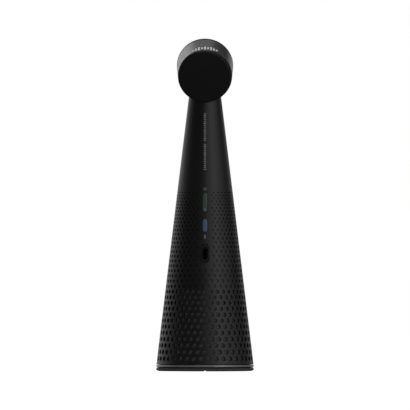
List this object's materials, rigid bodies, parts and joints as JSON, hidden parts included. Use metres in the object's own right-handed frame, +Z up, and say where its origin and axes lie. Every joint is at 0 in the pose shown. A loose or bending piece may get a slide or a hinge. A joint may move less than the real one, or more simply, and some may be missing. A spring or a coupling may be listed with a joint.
{
  "type": "conference speakerphone",
  "caption": "Tall tapered speakerphone with a perforated lower grille and a tilted round head, with a touch face in front and two buttons and a USB-C port behind.",
  "frame": {"origin": "centre of the underside of the foot ring, on the axis of the tapered body", "axes": "+Z up along the body; -Y is the rear, with the port and buttons; +Y is the side that the touch face looks to"},
  "size_m": [0.0878, 0.0878, 0.299],
  "materials": {
    "black_plastic": "satin black moulded plastic",
    "dark_plastic": "matt black moulded plastic",
    "rubber": "matt soft rubber",
    "satin_trim": "satin grey",
    "brushed_band": "dark anodised, brushed along the head",
    "cloth": "black acoustic cloth",
    "steel": "plain steel",
    "magnet": "dark grey ferrite",
    "paper_cone": "pressed black paper",
    "copper": "copper wire",
    "board_green": "glass-fibre board",
    "cell_wrap": "shrink wrap",
    "power_tint": "smoked green-grey window",
    "pairing_tint": "smoked blue window",
    "diffuser": "milky diffuser",
    "glass_black": "black touch window",
    "flex_film": "amber film"
  },
  "bodies": {
    "body": {"foot_ring": "rubber", "bottom_cover": "dark_plastic", "base_trim_ring": "satin_trim", "base_weight": "steel", "sound_deflector": "dark_plastic", "weight_screw": "steel", "body_shell": "black_plastic", "grille_cloth": "cloth", "port_bezel": "dark_plastic", "speaker_box": "dark_plastic", "speaker_frame": "steel", "speaker_top_plate": "steel", "speaker_magnet": "magnet", "speaker_yoke": "steel", "speaker_surround": "rubber", "speaker_spider": "cell_wrap", "inner_chassis": "dark_plastic", "battery_holder": "dark_plastic", "battery_cell": "cell_wrap", "main_board": "board_green", "usb_c_receptacle": "steel", "power_switch": "magnet", "pairing_switch": "magnet", "speaker_lead": "copper", "head_ribbon_cable": "flex_film", "neck_insert": "dark_plastic", "head_frame": "dark_plastic", "head_band": "brushed_band", "rear_cap": "black_plastic", "front_bezel": "black_plastic", "light_ring": "diffuser", "touch_lens": "glass_black", "touch_board": "board_green", "base_screw_1": "steel", "leg_screw_1": "steel", "base_screw_2": "steel", "leg_screw_2": "steel", "base_screw_3": "steel", "leg_screw_3": "steel", "driver_screw_1": "steel", "microphone_1": "steel", "driver_screw_2": "steel", "microphone_2": "steel", "driver_screw_3": "steel", "microphone_3": "steel", "driver_screw_4": "steel", "microphone_4": "steel", "board_screw_1": "steel", "head_screw_1": "steel", "board_screw_2": "steel", "head_screw_2": "steel"},
    "power_button": {"power_button": "power_tint", "power_indicator_lens": "diffuser"},
    "pairing_button": {"pairing_button": "pairing_tint"},
    "speaker_diaphragm": {"speaker_cone": "paper_cone", "dust_cap": "paper_cone", "voice_coil": "copper"}
  },
  "joints": [
    {"name": "power_press", "type": "slide", "parent": "body", "child": "power_button", "axis": [0, 0.9927, -0.1207], "range_m": [0, 0.0006], "stiffness_N_per_m": 1500},
    {"name": "pairing_press", "type": "slide", "parent": "body", "child": "pairing_button", "axis": [0, 0.9927, -0.1207], "range_m": [0, 0.0006], "stiffness_N_per_m": 1500},
    {"name": "cone_travel", "type": "slide", "parent": "body", "child": "speaker_diaphragm", "axis": [0, 0, 1], "range_m": [-0.0015, 0.0015], "stiffness_N_per_m": 2500, "deforming": ["speaker_surround", "speaker_spider"]}
  ]
}
